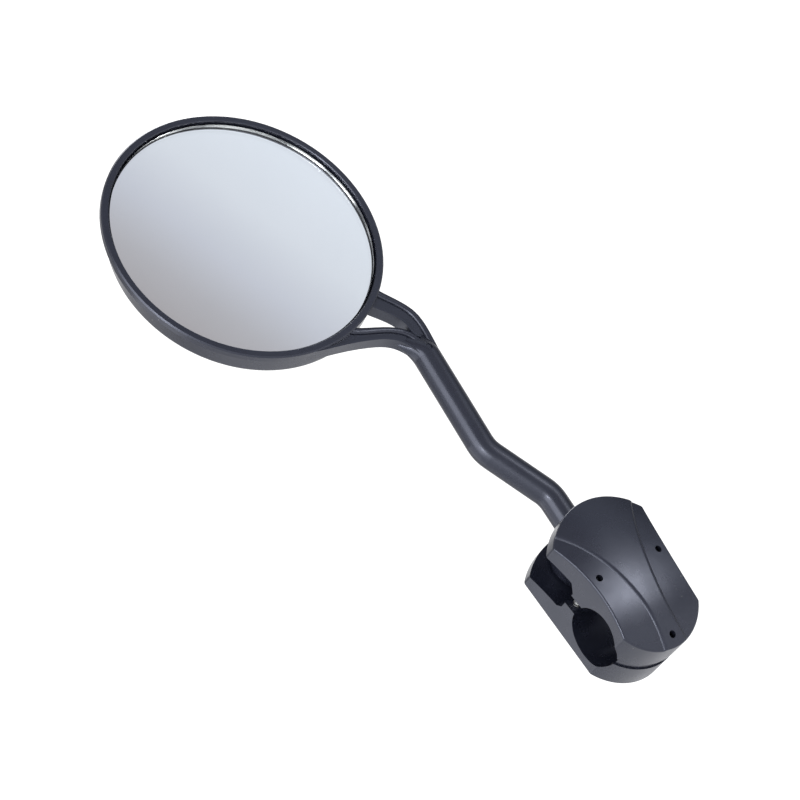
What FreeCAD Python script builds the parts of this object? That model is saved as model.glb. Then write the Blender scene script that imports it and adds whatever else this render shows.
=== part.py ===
import FreeCAD, Part
import math
import os

V = FreeCAD.Vector
os.makedirs("parts", exist_ok=True)

# Handlebar mirror of moulded plastic: a two-piece clamp on the bar, an arm that
# swings between the clamp's halves, and a round cup with the glass at its end.
# Millimetres. X runs along the bar, the rider looks along +Y, Z points up the arm.
# The origin is the middle of the bar bore.

# The bar and the plane in which both mouldings part.
bar_r = 11.1
part_y = -1.0

# Clamp outline seen from the front: two end arcs joined by hollow sides.
low_corner = (18.3, -8.1)
low_apex_z = -18.8
waist = (17.6, 1.35)
top_corner = (21.6, 31.0)
corner_r = 1.5
front_apex_z = 41.6
back_apex_z = 39.8

# Crowned faces of the two halves: height, depth on the middle line, fall-off per squared width.
front_crown = [(-24.0, -11.0, 0.0031), (-14.0, -14.5, 0.0031), (0.0, -17.4, 0.0029), (13.5, -18.15, 0.0030),
               (26.0, -17.6, 0.0045), (36.0, -16.4, 0.0056), (47.0, -14.4, 0.0058)]
back_crown = [(-24.0, 11.4, -0.0069), (-8.0, 16.1, -0.0069), (11.0, 17.9, -0.0069), (31.0, 15.1, -0.0069),
              (47.0, 9.2, -0.0069)]
crown_half_w = 28.0
crown_edge_r = 0.8

# Raised tongue down the front cover: height on the clamp and half width there.
tongue_rise = 0.7
tongue_roll_r = 2.0
tongue_edge_r = 0.5
tongue_base_y = -11.0
tongue_shape = [(-26.0, 7.8), (-14.1, 5.6), (-5.0, 5.1), (7.0, 6.6), (18.5, 10.0), (30.8, 16.6),
                (45.0, 34.0)]

# Slot for the arm's eye, the gap above the bore and the lip below it.
slot_half = 7.6
slot_floor_z = 16.0
slot_bevel_front = (3.6, 2.8)
slot_bevel_back = (1.8, 1.6)
gap_half = 2.75
lip_top_z = -4.0
front_lip_y = -2.5
lip_gap = 1.0
lip_step_depth = 0.6
lip_step_y = 1.3

# Pivot of the arm: an eye that turns on a half pin of each clamp half.
pivot_z = 28.0
eye_r = 12.0
eye_edge = 0.8
eye_side_gap = 0.15
eye_seat_gap = 0.4
pin_r = 4.92
pin_fit = 0.08
pin_len = 5.0

# Three self-tapping screws put in from the back.
screw_x = 14.2
screw_z = 14.0
low_screw_z = -14.5
screw_r = 1.5
screw_fit = 0.05
screw_pass_gap = 0.15
screw_seat_y = 8.0
screw_tip_y = -12.0
screw_point = 2.0
head_r = 2.8
head_h = 2.1
head_gap = 0.35
drive_arm = 1.7
drive_w = 0.7
drive_deep = 1.2
pilot_r = 1.3

# The round rod of the arm, bent twice, its path in X and Z; its top is placed from the middle of the cup.
rod_r = 5.25
rod_path = [(0.0, pivot_z), (0.4, 52.8), (-12.5, 78.0)]
rod_bend_r = 12.0
rod_top = (39.1, -69.8)
rod_end_len = 4.5
mark_r = 1.3
mark_deep = 1.1
mark_up = 2.0

# Fork between the rod and the cup: the edges of its two legs and of the window between them,
# placed from the middle of the cup.
fork_front = 3.3
fork_back = 2.2
fork_outer = [(42.2, -76.3), (43.7, -69.8), (44.45, -64.3), (44.9, -55.9), (44.2, -52.0),
              (41.75, -47.1), (32.7, -31.5)]
fork_lower = [(35.4, -76.3), (34.4, -66.9), (30.0, -60.8), (21.7, -57.2), (9.4, -54.8),
              (-0.6, -53.55), (-12.6, -50.7)]
fork_in_cup = [(19.4, -29.3), (-12.6, -39.3)]
window_upper = [(37.3, -58.7), (37.1, -55.9), (35.6, -52.4), (25.4, -39.9)]
window_lower = [(13.4, -47.0), (27.1, -52.8), (37.3, -58.7)]
window_in_cup = (17.4, -39.3)
window_tip_upper = (39.4, -62.7)
window_tip_lower = (39.6, -63.3)

# Each leg is a sunk web between a broad rounded rail and a thin rim.
web_deep = 1.1
rail_half = 1.4
rail_edge_r = 1.25
rim_half = 0.45

# Round cup; its axis runs along Y, and behind the front band its wall leans towards the arm.
cup_x = -49.4
cup_z = 189.3
rim_in_r = 50.55
rim_w = 2.8
rim_y = -5.0
rim_edge = 0.5
rim_in_edge = 0.3
band_y = -2.4
band_step = 0.3
cup_back_y = 6.6
cup_taper = 2.35
cup_back_shift = (1.19, -2.18)
shoulder_r = 2.6

# Glass and the foam pad behind it.
glass_side_gap = 0.3
glass_edge_y = -3.5
glass_t = 2.0
glass_dome_r = 1000.0
glass_bevel = 0.7
glass_ledge = 2.75
pad_gap = 0.3
pad_t = 4.5

# Half length of every cutting body, well past the object.
far = 80.0


# Outlines are drawn in X and Z and pushed along Y.
def edge_arc(a, b, c):
    return Part.Arc(V(a[0], 0, a[1]), V(b[0], 0, b[1]), V(c[0], 0, c[1])).toShape()


def edge_line(a, b):
    return Part.makeLine(V(a[0], 0, a[1]), V(b[0], 0, b[1]))


def edge_curve(points):
    curve = Part.BSplineCurve()
    curve.interpolate([V(x, 0, z) for x, z in points])
    return curve.toShape()


def push(edges, y0, y1):
    face = Part.Face(Part.Wire(Part.__sortEdges__(edges)))
    face.translate(V(0, y0, 0))
    return face.extrude(V(0, y1 - y0, 0))


def profile_along_x(points):
    loop = [V(-far, y, z) for y, z in points]
    return Part.Face(Part.makePolygon(loop + loop[:1])).extrude(V(2 * far, 0, 0))


def rod_y(r, x, z, y0, y1):
    return Part.makeCylinder(r, y1 - y0, V(x, y0, z), V(0, 1, 0))


def ring_y(r, x, y, z):
    return Part.Wire(Part.makeCircle(r, V(x, y, z), V(0, 1, 0)))


def turned(points, x, z):
    """Solid of revolution about an axis along Y; points are (radius, y)."""
    loop = [V(x + r, y, z) for r, y in points]
    face = Part.Face(Part.makePolygon(loop + loop[:1]))
    return face.revolve(V(x, 0, z), V(0, 1, 0), 360)


def beside(points, d):
    """A curve's points moved sideways, to the left of its run."""
    moved = []
    for i, (x, z) in enumerate(points):
        a = points[max(i - 1, 0)]
        b = points[min(i + 1, len(points) - 1)]
        dx, dz = b[0] - a[0], b[1] - a[1]
        n = math.hypot(dx, dz)
        moved.append((x - dz / n * d, z + dx / n * d))
    return moved


def strip(points, half, y0, y1):
    """A band of even width along a curve, with square ends."""
    left = beside(points, half)
    right = beside(points, -half)
    ends = [edge_line(left[0], right[0]), edge_line(left[-1], right[-1])]
    return push([edge_curve(left), edge_curve(right)] + ends, y0, y1)


def mirrored(p):
    return (-p[0], p[1])


# Clamp stock: its outline pushed along Y, and the crowned faces that bound it.
def clamp_block(apex_z):
    edges = [edge_arc(mirrored(low_corner), (0, low_apex_z), low_corner),
             edge_arc(low_corner, waist, top_corner),
             edge_arc(top_corner, (0, apex_z), mirrored(top_corner)),
             edge_arc(mirrored(top_corner), mirrored(waist), mirrored(low_corner))]
    block = push(edges, -far, far)
    return block.makeFillet(corner_r, [e for e in block.Edges if e.BoundBox.YLength > far])


def crown_body(table, lift, reach):
    """Everything on one side of a crowned face, as far as the reach along Y."""
    across = [crown_half_w * k / 2 for k in (-2, -1, 0, 1, 2)]
    surface = Part.BSplineSurface()
    surface.interpolate([[V(x, y + lift + fall * x * x, z) for x in across] for z, y, fall in table])
    return surface.toShape().extrude(V(0, reach, 0))


def crown_edges(shape):
    """Edges where a crowned face meets the walls round it."""
    edges = []
    for face in shape.Faces:
        if isinstance(face.Surface, Part.BSplineSurface):
            u, v = face.Surface.parameter(face.CenterOfMass)
            if abs(face.normalAt(u, v).y) > 0.8:
                edges += face.Edges
    return edges


slot_front_y = part_y - slot_half
slot_back_y = part_y + slot_half
gap_front_y = part_y - gap_half
gap_back_y = part_y + gap_half
back_lip_y = front_lip_y + lip_gap
screws = [(-screw_x, screw_z), (screw_x, screw_z), (0.0, low_screw_z)]
bore = Part.makeCylinder(bar_r, 2 * far, V(-far, 0, 0), V(1, 0, 0))
eye_room = rod_y(eye_r + eye_seat_gap, 0, pivot_z, slot_front_y, slot_back_y)

# Front cover with its raised tongue, pivot pin and screw holes.
front_side = [(-far, far), (slot_front_y, far), (slot_front_y, slot_floor_z + slot_bevel_front[1]),
              (slot_front_y + slot_bevel_front[0], slot_floor_z), (gap_front_y, slot_floor_z),
              (gap_front_y, 0), (front_lip_y, lip_top_z), (front_lip_y, -far), (-far, -far)]
wing = clamp_block(front_apex_z).common(profile_along_x(front_side)).common(crown_body(front_crown, 0, far))
wing = wing.makeFillet(crown_edge_r, crown_edges(wing))
tongue_right = [(w, z) for z, w in tongue_shape]
tongue_left = [(-w, z) for z, w in tongue_shape]
tongue_sides = [edge_curve(tongue_left), edge_curve(tongue_right)]
tongue_sides += [edge_line(tongue_left[i], tongue_right[i]) for i in (0, -1)]
tongue = push(tongue_sides, -far, tongue_base_y).common(crown_body(front_crown, -tongue_rise, far))
long_edges = [e for e in crown_edges(tongue) if e.BoundBox.ZLength > front_apex_z]
tongue = tongue.makeFillet(tongue_roll_r, long_edges).common(clamp_block(front_apex_z))
low_edges = [e for e in crown_edges(tongue) if e.BoundBox.ZLength < low_corner[0]]
tongue = tongue.makeFillet(tongue_edge_r, low_edges)
front = wing.fuse(tongue).removeSplitter()
front = front.cut(bore).cut(eye_room)
front = front.fuse(rod_y(pin_r, 0, pivot_z, slot_front_y - pin_len / 10, slot_front_y + pin_len))
for x, z in screws:
    front = front.cut(rod_y(screw_r + screw_fit, x, z, screw_tip_y, 0))
    front = front.cut(rod_y(pilot_r, x, z, -far, 0))
front = front.removeSplitter()
front.exportStep("parts/clamp_front.step")

# Back half, with the lip that closes under the bar and the screw wells.
back_side = [(far, far), (slot_back_y, far), (slot_back_y, slot_floor_z + slot_bevel_back[1]),
             (slot_back_y - slot_bevel_back[0], slot_floor_z), (gap_back_y, slot_floor_z), (gap_back_y, 0),
             (back_lip_y, lip_top_z), (back_lip_y, -far), (far, -far)]
back = clamp_block(back_apex_z).common(profile_along_x(back_side)).common(crown_body(back_crown, 0, -far))
back = back.makeFillet(crown_edge_r, crown_edges(back))
low_rise = low_corner[1] - low_apex_z
low_r = (low_corner[0] ** 2 + low_rise ** 2) / (2 * low_rise)
lip_ring = Part.makeBox(2 * far, lip_step_y - back_lip_y, far, V(-far, back_lip_y, low_corner[1] - far))
lip_ring = lip_ring.cut(rod_y(low_r - lip_step_depth, 0, low_apex_z + low_r, -far, far))
back = back.cut(bore).cut(lip_ring).cut(eye_room)
back = back.fuse(rod_y(pin_r, 0, pivot_z, slot_back_y - pin_len, slot_back_y + pin_len / 10))
for x, z in screws:
    back = back.cut(rod_y(screw_r + screw_pass_gap, x, z, -far, far))
    back = back.cut(rod_y(head_r + head_gap, x, z, screw_seat_y, far))
back = back.removeSplitter()
back.exportStep("parts/clamp_back.step")

# Screws: pan heads with a cross drive, plain shanks to the thread's outside.
head_top_y = screw_seat_y + head_h
screw_solids = []
for x, z in screws:
    one = turned([(0, screw_tip_y), (screw_r / 3, screw_tip_y), (screw_r, screw_tip_y + screw_point),
                  (screw_r, screw_seat_y), (head_r, screw_seat_y), (head_r, screw_seat_y + head_h / 2),
                  (head_r * 0.8, head_top_y - head_h / 6), (head_r / 2, head_top_y), (0, head_top_y)], x, z)
    for a, b in ((drive_arm, drive_w / 2), (drive_w / 2, drive_arm)):
        one = one.cut(Part.makeBox(2 * a, head_h, 2 * b, V(x - a, head_top_y - drive_deep, z - b)))
    screw_solids.append(one)
Part.makeCompound(screw_solids).exportStep("parts/clamp_screws.step")


# Arm moulding: eye, bent rod, fork and cup in one.
def bent_path(points, radius):
    """Straight runs joined by arcs of one radius."""
    edges = []
    start = points[0]
    for a, b, c in zip(points, points[1:], points[2:]):
        u = (a - b).normalize()
        w = (c - b).normalize()
        half = u.getAngle(w) / 2
        reach = radius / math.tan(half)
        mid = (u + w).normalize()
        centre = b + mid * (radius / math.sin(half))
        edges.append(Part.makeLine(start, b + u * reach))
        edges.append(Part.Arc(b + u * reach, centre - mid * radius, b + w * reach).toShape())
        start = b + w * reach
    edges.append(Part.makeLine(start, points[-1]))
    return Part.Wire(edges)


def from_cup(points):
    """Places given from the middle of the cup, in the part's frame."""
    return [(cup_x + x, cup_z + z) for x, z in points]


path_points = [V(x, part_y, z) for x, z in rod_path + from_cup([rod_top])]
way_in = (path_points[1] - path_points[0]).normalize()
way_out = (path_points[-1] - path_points[-2]).normalize()
rod_ring = Part.Wire(Part.makeCircle(rod_r, path_points[0], way_in))
rod = bent_path(path_points, rod_bend_r).makePipeShell([rod_ring], True, True)
squash = FreeCAD.Matrix()
squash.scale(1, 1, rod_end_len / rod_r)
rod_end = Part.makeSphere(rod_r).transformGeometry(squash)
rod_end.Placement = FreeCAD.Placement(path_points[-1], FreeCAD.Rotation(V(0, 0, 1), way_out))

eye = rod_y(eye_r, 0, pivot_z, slot_front_y + eye_side_gap, slot_back_y - eye_side_gap)
eye = eye.makeChamfer(eye_edge, [e for e in eye.Edges if isinstance(e.Curve, Part.Circle)])

fork_front_y = part_y - fork_front
fork_back_y = part_y + fork_back
upper_rail = beside(from_cup(fork_outer), rail_half)
upper_rim = beside(from_cup([window_tip_upper] + window_upper), -rim_half)
lower_rail = beside(from_cup(window_lower + [window_tip_lower]), -rail_half)
lower_rim = beside(from_cup(fork_lower), -rim_half)
rails = [strip(run, rim_half, fork_front_y, fork_back_y) for run in (upper_rim, lower_rim)]
for run in (upper_rail, lower_rail):
    bar = strip(run, rail_half, fork_front_y, fork_back_y)
    long_edges = [e for e in bar.Edges if isinstance(e.Curve, Part.BSplineCurve)]
    rails.append(bar.makeFillet(rail_edge_r, long_edges))
web_rim = [upper_rail[-1]] + from_cup(fork_in_cup) + [lower_rim[-1]]
web_edges = [edge_curve(upper_rail), edge_curve(lower_rim), edge_line(upper_rail[0], lower_rim[0])]
web_edges += [edge_line(a, b) for a, b in zip(web_rim, web_rim[1:])]
web = push(web_edges, fork_front_y + web_deep, fork_back_y - web_deep)
window_rim = [upper_rim[-1]] + from_cup([window_in_cup]) + [lower_rail[0]]
window = [edge_curve(upper_rim[1:]), edge_curve(lower_rail[:-1]), edge_line(upper_rim[1], lower_rail[-2])]
window += [edge_line(a, b) for a, b in zip(window_rim, window_rim[1:])]
web = web.cut(push(window, -far, far))

cup_r = rim_in_r + rim_w
cup_back_r = cup_r - cup_taper
band_side = [(0, band_y), (0, rim_y), (cup_r - rim_edge, rim_y), (cup_r, rim_y + rim_edge), (cup_r, band_y)]
band = turned(band_side, cup_x, cup_z)
band_ring = ring_y(cup_r - band_step, cup_x, band_y, cup_z)
back_ring = ring_y(cup_back_r, cup_x + cup_back_shift[0], cup_back_y, cup_z + cup_back_shift[1])
shell = Part.makeLoft([band_ring, back_ring], True, True)
shell = shell.makeFillet(shoulder_r, [e for e in shell.Edges if e.BoundBox.YMin > 0])

glass_r = rim_in_r - glass_side_gap
glass_back_y = glass_edge_y + glass_t
floor_y = glass_back_y + pad_t
pad_room_r = rim_in_r - glass_ledge
pad_r = pad_room_r - pad_gap
room = turned([(0, -far), (rim_in_r + rim_in_edge, -far), (rim_in_r + rim_in_edge, rim_y),
               (rim_in_r, rim_y + rim_in_edge), (rim_in_r, glass_back_y), (pad_room_r, glass_back_y),
               (pad_room_r, floor_y), (0, floor_y)], cup_x, cup_z)

mark = path_points[-1] + way_out * mark_up
arm = rod.fuse([rod_end, eye, web] + rails + [band, shell])
arm = arm.cut(room)
arm = arm.cut(rod_y(pin_r + pin_fit, 0, pivot_z, -far, far))
arm = arm.cut(rod_y(mark_r, mark.x, mark.z, -far, part_y - rod_r + mark_deep))
arm = arm.removeSplitter()
arm.exportStep("parts/mirror_arm.step")

# Glass, slightly domed to the front, with a ground edge.
dome_r = glass_r - glass_bevel
dome = [V(cup_x + r, glass_edge_y - (glass_r ** 2 - r ** 2) / (2 * glass_dome_r), cup_z)
        for r in (0, dome_r / 2, dome_r)]
edge = [V(cup_x + r, y, cup_z) for r, y in ((glass_r, glass_edge_y + glass_bevel), (glass_r, glass_back_y),
                                            (0, glass_back_y))]
half = Part.Wire([Part.Arc(*dome).toShape()] + Part.makePolygon(dome[-1:] + edge + dome[:1]).Edges)
glass = Part.Face(half).revolve(V(cup_x, 0, cup_z), V(0, 1, 0), 360)
glass.exportStep("parts/mirror_glass.step")

# Foam pad that holds the glass to the cup's floor.
rod_y(pad_r, cup_x, cup_z, glass_back_y, floor_y).exportStep("parts/glass_pad.step")
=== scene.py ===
import math

import bpy
from mathutils import Matrix, Vector


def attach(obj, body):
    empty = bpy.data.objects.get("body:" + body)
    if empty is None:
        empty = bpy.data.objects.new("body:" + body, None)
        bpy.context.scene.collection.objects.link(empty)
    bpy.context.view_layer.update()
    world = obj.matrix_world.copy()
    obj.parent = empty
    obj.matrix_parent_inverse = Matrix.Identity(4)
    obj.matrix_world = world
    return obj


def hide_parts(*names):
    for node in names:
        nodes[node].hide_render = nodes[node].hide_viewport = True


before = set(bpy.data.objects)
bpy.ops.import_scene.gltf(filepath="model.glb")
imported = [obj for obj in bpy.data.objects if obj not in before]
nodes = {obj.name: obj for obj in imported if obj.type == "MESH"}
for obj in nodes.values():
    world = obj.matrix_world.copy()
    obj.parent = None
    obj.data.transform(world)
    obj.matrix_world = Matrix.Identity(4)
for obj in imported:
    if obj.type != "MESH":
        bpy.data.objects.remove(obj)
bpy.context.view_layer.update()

# Clamp halves: two injection-moulded shells of glass-filled nylon, dyed black,
# which close round the handlebar. The screws pull the back half to the front one.
mm = 0.001


def linear(code):
    """Linear colour with alpha from an sRGB hex code."""
    parts = [int(code[i:i + 2], 16) / 255 for i in (0, 2, 4)]
    return tuple(c / 12.92 if c <= 0.04045 else ((c + 0.055) / 1.055) ** 2.4 for c in parts) + (1.0,)


def add_node(tree, kind, settings, links):
    """A shader node with its settings, its input values by name or number, and its incoming links."""
    node = tree.nodes.new(kind)
    for name, value in settings.items():
        if isinstance(name, int) or name in node.inputs:
            node.inputs[name].default_value = value
        else:
            setattr(node, name, value)
    for name, source in links.items():
        tree.links.new(source, node.inputs[name])
    return node


def mix_colours(tree, factor, low, high):
    """The colour that goes from low to high with the factor. Each is a colour or a node's output."""
    # A Mix node's sockets share their names, so those for colours go by number.
    low_socket, high_socket, colour_socket = 6, 7, 2
    node = add_node(tree, "ShaderNodeMix", {"data_type": "RGBA"}, {"Factor": factor})
    for socket, colour in ((low_socket, low), (high_socket, high)):
        if isinstance(colour, tuple):
            node.inputs[socket].default_value = colour
        else:
            tree.links.new(colour, node.inputs[socket])
    return node.outputs[colour_socket]


def start_material(name):
    """An empty node material, its tree, and the piece's own coordinates in it."""
    material = bpy.data.materials.new(name)
    material.use_nodes = True
    tree = material.node_tree
    tree.nodes.clear()
    place = add_node(tree, "ShaderNodeTexCoord", {}, {})
    return material, tree, place.outputs["Object"]


def set_surface(tree, settings, links):
    """The material's surface shader and its output."""
    shader = add_node(tree, "ShaderNodeBsdfPrincipled", settings, links)
    add_node(tree, "ShaderNodeOutputMaterial", {}, {"Surface": shader.outputs["BSDF"]})


def dress(piece, material):
    """One material all over a piece."""
    piece.data.materials.clear()
    piece.data.materials.append(material)


# Moulded nylon: satin black with a cool cast, softly uneven in gloss where the melt
# cooled at different speeds, and a fine spark-eroded grain from the tool.
# The grain is about 0.15 mm in life and is drawn at 0.4 mm so that it shows.
# A few pale specks of dust, a quarter of a millimetre across, cling to it.
spark_grain = 0.4 * mm
cooling_patch = 12 * mm
dust_gap = 4.5 * mm
speck_core = 0.023  # radius of a speck's middle and of its soft edge, as shares of the gap
speck_edge = 0.035

nylon, tree, place = start_material("moulded_black_nylon")
grain = add_node(tree, "ShaderNodeTexNoise", {"Scale": 1 / spark_grain, "Detail": 2.0, "Roughness": 0.6},
                 {"Vector": place})
patch = add_node(tree, "ShaderNodeTexNoise", {"Scale": 1 / cooling_patch, "Detail": 3.0, "Roughness": 0.5},
                 {"Vector": place})
gloss = add_node(tree, "ShaderNodeMapRange",
                 {"From Min": 0.3, "From Max": 0.7, "To Min": 0.24, "To Max": 0.32},
                 {"Value": patch.outputs["Fac"]})
tint = mix_colours(tree, grain.outputs["Fac"], linear("10121a"), linear("151720"))
dust = add_node(tree, "ShaderNodeTexVoronoi", {"Scale": 1 / dust_gap}, {"Vector": place})
speck = add_node(tree, "ShaderNodeMapRange",
                 {"From Min": speck_core, "From Max": speck_edge, "To Min": 1.0, "To Max": 0.0},
                 {"Value": dust.outputs["Distance"]})
dusty = mix_colours(tree, speck.outputs["Result"], tint, linear("868682"))
bump = add_node(tree, "ShaderNodeBump", {"Strength": 0.08, "Distance": 0.05 * mm},
                {"Height": grain.outputs["Fac"]})
set_surface(tree, {"IOR": 1.55, "Specular Tint": linear("e4eaff")},
            {"Base Color": dusty, "Roughness": gloss.outputs["Result"], "Normal": bump.outputs["Normal"]})
for name in ("clamp_front", "clamp_back"):
    dress(nodes[name], nylon)

# Clamp screws: pan heads with a cross recess, cold-headed and thread-rolled from steel wire,
# then zinc plated. They cut their own thread in the front half, from wells in the back one.
screw_places = [(-14.2, 14.0), (14.2, 14.0), (0.0, -14.5)]
stop_angle = 40  # from one head's cross to the next one's, since each screw stops where it is tight
screw_sides = 32
seat_y = 8.0
tip_y = -12.0
tip_r = 0.35
core_r = 1.12
point_rings = [(0.8, 1.2), (core_r, 2.4)]
head_rings = [(2.75, 0.0), (2.8, 0.25), (2.8, 0.75), (2.6, 1.3), (2.15, 1.75), (1.5, 2.02), (0.9, 2.09)]
head_h = 2.1
crest_r = 1.48
ridge = 0.5
ridge_sides = 3
pitch = 1.4
turns = 10
turn_steps = 24
thread_start = 1.0
cross_reach = 1.6
cross_width = 0.66
cross_deep = 1.15
cross_taper = 0.55
weld_gap = 0.002
axis_along_y = (math.radians(90), 0, 0)


def start_ring(name, sides, r, middle, rotation):
    """A ring of edges round its middle, in edit mode and selected."""
    bpy.ops.object.select_all(action="DESELECT")
    bpy.ops.mesh.primitive_circle_add(vertices=sides, radius=r * mm, fill_type="NOTHING",
                                      location=middle, rotation=rotation)
    piece = bpy.context.object
    piece.name = name
    bpy.ops.object.transform_apply(location=True, rotation=True, scale=True)
    bpy.ops.object.mode_set(mode="EDIT")
    bpy.ops.mesh.select_all(action="SELECT")
    return piece


def draw_rings(r, y, rings, x=0.0, z=0.0):
    """The selected ring of radius r at y, drawn out along Y through further radii and places."""
    for next_r, next_y in rings:
        grow = next_r / r
        bpy.ops.mesh.extrude_region_move(TRANSFORM_OT_translate={"value": (0, (next_y - y) * mm, 0)})
        bpy.ops.transform.resize(value=(grow, 1, grow), center_override=(x * mm, 0, z * mm))
        r, y = next_r, next_y


def select_open_edges():
    """The edges that have a face on one side only."""
    bpy.ops.mesh.select_all(action="DESELECT")
    bpy.ops.mesh.select_non_manifold(extend=False, use_wire=False, use_boundary=True,
                                     use_multi_face=False, use_non_contiguous=False, use_verts=False)


def leave_edit(angle):
    """Faces turned outwards, and shading smooth up to the angle."""
    bpy.ops.mesh.select_all(action="SELECT")
    bpy.ops.mesh.normals_make_consistent(inside=False)
    bpy.ops.object.mode_set(mode="OBJECT")
    bpy.ops.object.shade_smooth_by_angle(angle=math.radians(angle))


def close_up(angle):
    """The last ring drawn to a point and the first one capped; shading smooth up to the angle."""
    bpy.ops.mesh.merge(type="CENTER")
    select_open_edges()
    bpy.ops.mesh.edge_face_add()
    bpy.ops.mesh.select_all(action="SELECT")
    bpy.ops.mesh.remove_doubles(threshold=weld_gap * mm)
    leave_edit(angle)


def cut_out(piece, tool):
    """The tool's shape taken out of a piece, and the tool removed."""
    bpy.context.view_layer.objects.active = piece
    bpy.ops.object.modifier_add(type="BOOLEAN")
    cut = piece.modifiers[-1]
    cut.operation = "DIFFERENCE"
    cut.object = tool
    bpy.ops.object.modifier_apply(modifier=cut.name)
    bpy.data.objects.remove(tool)


screw = start_ring("clamp_screw", screw_sides, tip_r, (0, tip_y * mm, 0), axis_along_y)
rings = [(r, tip_y + up) for r, up in point_rings] + [(core_r, seat_y)]
rings += [(r, seat_y + up) for r, up in head_rings]
draw_rings(tip_r, tip_y, rings)
close_up(35)

thread_at = ((crest_r - ridge) * mm, (tip_y + thread_start) * mm, 0)
thread = start_ring("screw_thread", ridge_sides, ridge, thread_at, (0, 0, math.radians(-90)))
bpy.ops.object.mode_set(mode="OBJECT")
bpy.ops.object.modifier_add(type="SCREW")
helix = thread.modifiers[-1]
helix.axis = "Y"
helix.angle = math.radians(360)
helix.screw_offset = pitch * mm
helix.iterations = turns
helix.steps = turn_steps
helix.render_steps = turn_steps
bpy.ops.object.modifier_apply(modifier=helix.name)
bpy.ops.object.mode_set(mode="EDIT")
select_open_edges()
bpy.ops.mesh.fill()
leave_edit(30)

for arm_angle in (0, 90):
    bpy.ops.object.select_all(action="DESELECT")
    bpy.ops.mesh.primitive_cube_add(size=1, location=(0, (seat_y + head_h) * mm, 0),
                                    rotation=(0, math.radians(arm_angle), 0),
                                    scale=(2 * cross_reach * mm, 2 * cross_deep * mm, cross_width * mm))
    wedge = bpy.context.object
    bpy.ops.object.transform_apply(location=True, rotation=True, scale=True)
    bpy.ops.object.mode_set(mode="EDIT")
    bpy.ops.mesh.select_all(action="DESELECT")
    bpy.ops.object.mode_set(mode="OBJECT")
    lowest_y = min(face.center.y for face in wedge.data.polygons)
    for face in wedge.data.polygons:
        face.select = face.center.y == lowest_y
    bpy.ops.object.mode_set(mode="EDIT")
    bpy.ops.transform.resize(value=(cross_taper, 1, cross_taper), center_override=(0, 0, 0))
    bpy.ops.object.mode_set(mode="OBJECT")
    cut_out(screw, wedge)

bpy.ops.object.select_all(action="DESELECT")
thread.select_set(True)
screw.select_set(True)
bpy.context.view_layer.objects.active = screw
bpy.ops.object.join()

# Zinc plating: a bluish bright metal, hazed and a little patchy from the passivating dip.
haze_size = 0.9 * mm

zinc, tree, place = start_material("zinc_plated_steel")
haze = add_node(tree, "ShaderNodeTexNoise", {"Scale": 1 / haze_size, "Detail": 4.0}, {"Vector": place})
dull = add_node(tree, "ShaderNodeMapRange", {"To Min": 0.20, "To Max": 0.42}, {"Value": haze.outputs["Fac"]})
shine = mix_colours(tree, haze.outputs["Fac"], linear("b4b6b8"), linear("cfd0cd"))
set_surface(tree, {"Metallic": 1.0}, {"Base Color": shine, "Roughness": dull.outputs["Result"]})
dress(screw, zinc)

screws = [screw]
while len(screws) < len(screw_places):
    twin = screw.copy()
    twin.data = screw.data.copy()
    bpy.context.collection.objects.link(twin)
    screws.append(twin)
for number, (one, (x, z)) in enumerate(zip(screws, screw_places), start=1):
    one.name = f"clamp_screw_{number}"
    bpy.ops.object.select_all(action="DESELECT")
    one.select_set(True)
    bpy.context.view_layer.objects.active = one
    bpy.ops.object.mode_set(mode="EDIT")
    bpy.ops.mesh.select_all(action="SELECT")
    bpy.ops.transform.rotate(value=math.radians(stop_angle * number), orient_axis="Y",
                             center_override=(0, 0, 0))
    bpy.ops.transform.translate(value=(x * mm, 0, z * mm))
    bpy.ops.object.mode_set(mode="OBJECT")
    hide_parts("clamp_screws")
    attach(one, "clamp")

# Mirror arm: eye, bent rod, fork and cup in one moulding of the same nylon as the clamp.
# The eye turns on the pins of the clamp halves, and the cup holds the glass.
dress(nodes["mirror_arm"], nylon)

# Rod neck: the part of the arm's moulding where the round rod runs out into the flat web
# of the fork in one soft taper, and leans over to the lower leg. It has the small round
# gate mark of the mould in its front.
rod_r = 5.25
neck_fit = 0.03
neck_sides = 72
neck_foot = Vector((-10.3, -1.0, 119.5))
neck_way = Vector((2.2, 0.0, 41.5)).normalized()
neck_len = 11.0
neck_steps = 16
neck_sink = 0.3
web_half_w = 4.6
web_front = 2.1
web_back = 1.0
lean_w = 5.4
mark_r = 1.3
mark_up = 2.0
mark_floor = -5.2
mark_sides = 40

at = neck_foot - neck_sink * neck_way
half_w = half_d = rod_r - neck_fit
neck_tilt = math.atan2(neck_way.x, neck_way.z)
neck = start_ring("rod_neck", neck_sides, half_w, at * mm, (0, neck_tilt, 0))
for k in range(neck_steps + 1):
    share = k / neck_steps
    ease = share ** 2 * (3 - 2 * share)
    front_d = rod_r + ease * (web_front - rod_r)
    back_d = rod_r + ease * (web_back - rod_r)
    lean = ease * lean_w
    next_at = neck_foot + neck_len * share * neck_way + Vector((-lean, back_d - front_d, 0)) / 2
    next_w = rod_r + ease * (web_half_w - rod_r) + lean / 2
    next_d = (front_d + back_d) / 2
    bpy.ops.mesh.extrude_region_move(TRANSFORM_OT_translate={"value": (next_at - at) * mm})
    bpy.ops.transform.resize(value=(next_w / half_w, next_d / half_d, 1), center_override=next_at * mm)
    at, half_w, half_d = next_at, next_w, next_d
close_up(40)

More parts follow.
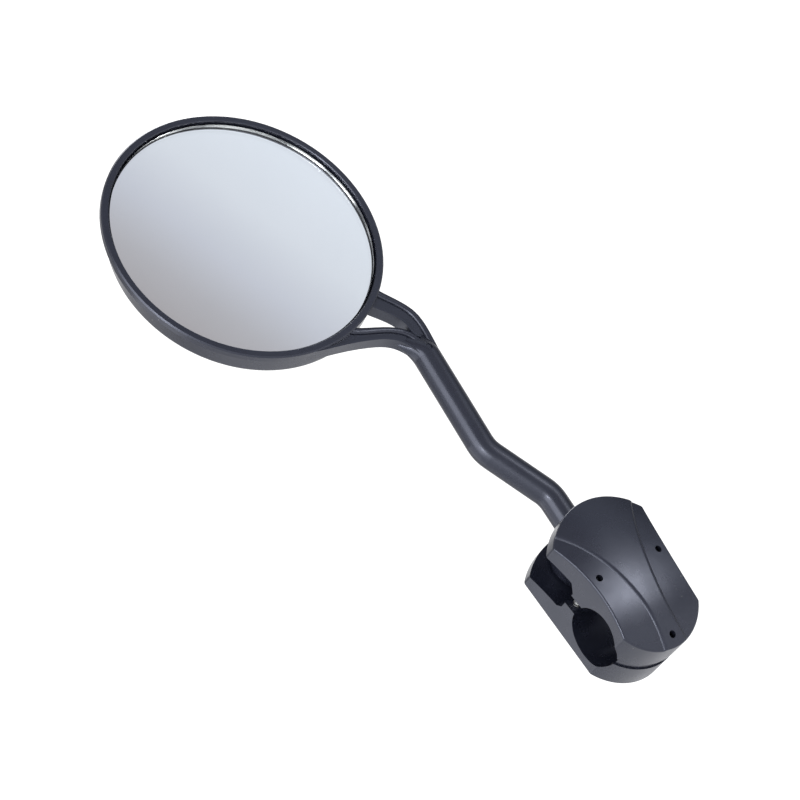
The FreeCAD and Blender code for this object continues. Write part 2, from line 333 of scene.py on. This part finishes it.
mark_at = neck_foot + mark_up * neck_way
bpy.ops.object.select_all(action="DESELECT")
bpy.ops.mesh.primitive_cylinder_add(vertices=mark_sides, radius=mark_r * mm, depth=2 * rod_r * mm,
                                    location=(mark_at.x * mm, (mark_floor - rod_r) * mm, mark_at.z * mm),
                                    rotation=axis_along_y)
pin = bpy.context.object
bpy.ops.object.transform_apply(location=True, rotation=True, scale=True)
cut_out(neck, pin)
dress(neck, nylon)
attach(neck, "arm")

# Foam pad: a disc die-cut from closed-cell polyethylene sheet, sticky on both sides,
# that holds the glass to the floor of the cup. Matt black with fine open cells on the cut edge.
cell_size = 0.6 * mm

foam, tree, place = start_material("closed_cell_foam")
cells = add_node(tree, "ShaderNodeTexVoronoi", {"Scale": 1 / cell_size}, {"Vector": place})
shade = mix_colours(tree, cells.outputs["Distance"], linear("141415"), linear("232324"))
pores = add_node(tree, "ShaderNodeBump", {"Strength": 0.4, "Distance": 0.2 * mm},
                 {"Height": cells.outputs["Distance"]})
set_surface(tree, {"Roughness": 0.9}, {"Base Color": shade, "Normal": pores.outputs["Normal"]})
dress(nodes["glass_pad"], foam)

# Mirror glass: a round blank of float glass, bent to a shallow dome, ground round its edge
# and silvered behind. It lies on the foam just under the rim of the cup.
cup_x, cup_z = -49.4, 189.3
glass_r = 50.25
glass_edge = -3.5
glass_t = 2.0
dome_r = 1000.0
dome_rings = 40
arris = 0.35
glass_sides = 192

back_edge = glass_edge + glass_t
glass = start_ring("domed_mirror_glass", glass_sides, glass_r,
                   (cup_x * mm, back_edge * mm, cup_z * mm), axis_along_y)
dome = [(glass_r - arris) * (1 - k / dome_rings) for k in range(dome_rings)]
front_side = [(glass_r, glass_edge + arris)]
front_side += [(r, glass_edge - (glass_r ** 2 - r ** 2) / (2 * dome_r)) for r in dome]
back_side = [(r, y + glass_t) for r, y in front_side[1:]]
for side in (front_side, back_side):
    draw_rings(glass_r, back_edge, side, cup_x, cup_z)
    bpy.ops.mesh.merge(type="CENTER")
    select_open_edges()
leave_edit(12)

# Float glass: clear, with a faint green cast, and a film of handling haze
# that only shows as a slightly uneven sharpness.
film_size = 30 * mm

clear, tree, place = start_material("float_glass")
film = add_node(tree, "ShaderNodeTexNoise", {"Scale": 1 / film_size, "Detail": 5.0, "Roughness": 0.6},
                {"Vector": place})
blur = add_node(tree, "ShaderNodeMapRange",
                {"From Min": 0.35, "From Max": 0.7, "To Min": 0.0, "To Max": 0.03},
                {"Value": film.outputs["Fac"]})
set_surface(tree, {"Base Color": linear("fcfdfd"), "IOR": 1.52, "Transmission Weight": 1.0},
            {"Roughness": blur.outputs["Result"]})

# Silver coat: laid wet on the back of the glass, so it is as smooth as the glass and near-white,
# with a trace of cloudiness from the bath.
cloud_size = 25 * mm

silver, tree, place = start_material("silver_coat")
cloud = add_node(tree, "ShaderNodeTexNoise", {"Scale": 1 / cloud_size, "Detail": 3.0}, {"Vector": place})
bright = mix_colours(tree, cloud.outputs["Fac"], linear("f4f6f6"), linear("f8f9f9"))
set_surface(tree, {"Metallic": 1.0, "Roughness": 0.015}, {"Base Color": bright})

# Ground edge: the wheel leaves fine streaks round the rim, and seen through the glass
# the rim mirrors like dull silver, bright in places and grey in others.
# The streaks are about 0.1 mm apart in life and are drawn at 0.42 mm so that they show.
wheel_mark = 0.42 * mm
ground_length = 16 * mm

ground, tree, place = start_material("ground_glass_edge")
level = add_node(tree, "ShaderNodeSeparateXYZ", {}, {"Vector": place})
height = add_node(tree, "ShaderNodeCombineXYZ", {}, {"Y": level.outputs["Y"]})
marks = add_node(tree, "ShaderNodeTexNoise", {"Scale": 1 / wheel_mark, "Detail": 2.0},
                 {"Vector": height.outputs["Vector"]})
band = add_node(tree, "ShaderNodeMapRange", {"From Min": 0.4, "From Max": 0.6},
                {"Value": marks.outputs["Fac"]})
frost = mix_colours(tree, band.outputs["Result"], linear("6c7072"), linear("f6f8f8"))
lengths = add_node(tree, "ShaderNodeTexNoise", {"Scale": 1 / ground_length, "Detail": 1.0},
                   {"Vector": place})
worn = add_node(tree, "ShaderNodeMapRange", {"From Min": 0.44, "From Max": 0.56},
                {"Value": lengths.outputs["Fac"]})
rim = mix_colours(tree, worn.outputs["Result"], linear("626568"), frost)
set_surface(tree, {"Metallic": 1.0, "Roughness": 0.14}, {"Base Color": rim})

# A face belongs to the silvered back, the clear front or the ground edge by where it looks.
back_limit, front_limit = 0.9, -0.8
glass_coats = [clear, silver, ground]
for coat in glass_coats:
    glass.data.materials.append(coat)
for face in glass.data.polygons:
    if face.normal.y > back_limit:
        face.material_index = glass_coats.index(silver)
    elif face.normal.y > front_limit:
        face.material_index = glass_coats.index(ground)
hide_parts("mirror_glass")
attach(glass, "arm")

# Studio: a pale paper floor under the part, grey walls with a white lit backdrop behind the part,
# a front that shades from side to side, which the mirror shows, and softboxes out of view.
floor_z = -0.25
floor_size = 8
pulp_size = 2 * mm

bpy.ops.object.select_all(action="DESELECT")
bpy.ops.mesh.primitive_plane_add(size=floor_size, location=(0, 0, floor_z))
floor = bpy.context.object
floor.name = "studio_floor"
paper, tree, place = start_material("white_paper")
pulp = add_node(tree, "ShaderNodeTexNoise", {"Scale": 1 / pulp_size}, {"Vector": place})
white = mix_colours(tree, pulp.outputs["Fac"], linear("f0f0f0"), linear("f4f4f4"))
set_surface(tree, {"Roughness": 0.8}, {"Base Color": white})
dress(floor, paper)

# The surround, by direction: the front's colours run along one way, with a stop for each shade,
# the walls take over towards the back, and the backdrop lies along the camera's view.
shade_way = (0.899, 0.0, 0.438)
shades = [(0.20, (0.74, 0.74, 0.78)), (0.40, (0.60, 0.59, 0.62)), (0.50, (0.42, 0.40, 0.42)),
          (0.545, (0.485, 0.48, 0.52)), (0.594, (0.60, 0.62, 0.70)), (0.654, (0.74, 0.775, 0.85)),
          (0.72, (0.80, 0.845, 0.93)), (0.80, (0.66, 0.685, 0.75)), (0.92, (0.20, 0.21, 0.24))]
wall_grey = (0.66, 0.66, 0.68, 1.0)
backdrop_white = (1.25, 1.25, 1.25, 1.0)
view_way = (0.5447, 0.7873, 0.2888)

world = bpy.data.worlds.new("studio")
bpy.context.scene.world = world
world.use_nodes = True
tree = world.node_tree
tree.nodes.clear()
ray = add_node(tree, "ShaderNodeTexCoord", {}, {}).outputs["Generated"]
axes = add_node(tree, "ShaderNodeSeparateXYZ", {}, {"Vector": ray})
across = add_node(tree, "ShaderNodeVectorMath", {"operation": "DOT_PRODUCT", 1: shade_way}, {0: ray})
front = add_node(tree, "ShaderNodeValToRGB", {}, {"Fac": across.outputs["Value"]})
front.color_ramp.elements[0].position = shades[0][0]
front.color_ramp.elements[1].position = shades[-1][0]
for position, colour in shades[1:-1]:
    front.color_ramp.elements.new(position)
for element, (position, colour) in zip(front.color_ramp.elements, shades):
    element.color = colour + (1.0,)
behind = add_node(tree, "ShaderNodeMapRange", {"From Min": -0.3, "From Max": 0.3},
                  {"Value": axes.outputs["Y"]})
walls = mix_colours(tree, behind.outputs["Result"], front.outputs["Color"], wall_grey)
ahead = add_node(tree, "ShaderNodeVectorMath", {"operation": "DOT_PRODUCT", 1: view_way}, {0: ray})
lit = add_node(tree, "ShaderNodeMapRange", {"From Min": 0.87, "From Max": 0.95},
               {"Value": ahead.outputs["Value"]})
room = mix_colours(tree, lit.outputs["Result"], walls, backdrop_white)
glow = add_node(tree, "ShaderNodeBackground", {}, {"Color": room})
add_node(tree, "ShaderNodeOutputWorld", {}, {"Surface": glow.outputs["Background"]})


def softbox(name, way, distance, width, height, power):
    """A lamp that looks at the middle of the part and stays out of the picture."""
    target = Vector((0.0, 0.0, 0.05))
    spot = target + Vector(way).normalized() * distance
    bpy.ops.object.light_add(type="AREA", location=spot)
    lamp = bpy.context.object
    lamp.name = name
    lamp.rotation_euler = (target - spot).to_track_quat("-Z", "Y").to_euler()
    lamp.data.shape = "RECTANGLE"
    lamp.data.size = width
    lamp.data.size_y = height
    lamp.data.energy = power
    lamp.visible_camera = False


# In turn: the patch of light on the cover; the broad streak down the rod; the thin line beside it;
# the edge of the glass; the clamp's left faces; and the floor, which lights the cup from below.
softbox("front_softbox", (0.49, -0.87, 0.03), 1.2, 0.40, 0.26, 3.4)
softbox("left_panel", (-0.885, -0.465, 0.09), 1.2, 0.92, 1.1, 13.0)
softbox("left_wing", (-0.98, 0.10, 0.14), 1.3, 0.6, 1.0, 1.6)
softbox("edge_lamp", (-0.788, -0.616, -0.035), 1.2, 0.14, 0.16, 2.2)
softbox("back_softbox", (-0.80, 0.60, 0.05), 1.4, 1.3, 0.75, 3.9)
softbox("top_softbox", (0.4, 0.35, 1.0), 1.3, 1.0, 1.0, 14)

camera_at = (-0.4642, -0.6273, -0.1215)
right = Vector((0.7754, -0.3416, -0.5312))
up = Vector((0.3195, -0.5133, 0.7965))
back = -Vector(view_way)
bpy.ops.object.camera_add()
camera = bpy.context.object
camera.data.lens = 100
camera.data.sensor_width = 36
turn = Matrix((right, up, back)).transposed().to_4x4()
camera.matrix_world = Matrix.Translation(camera_at) @ turn
bpy.context.scene.camera = camera
bpy.context.scene.view_settings.view_transform = "Standard"
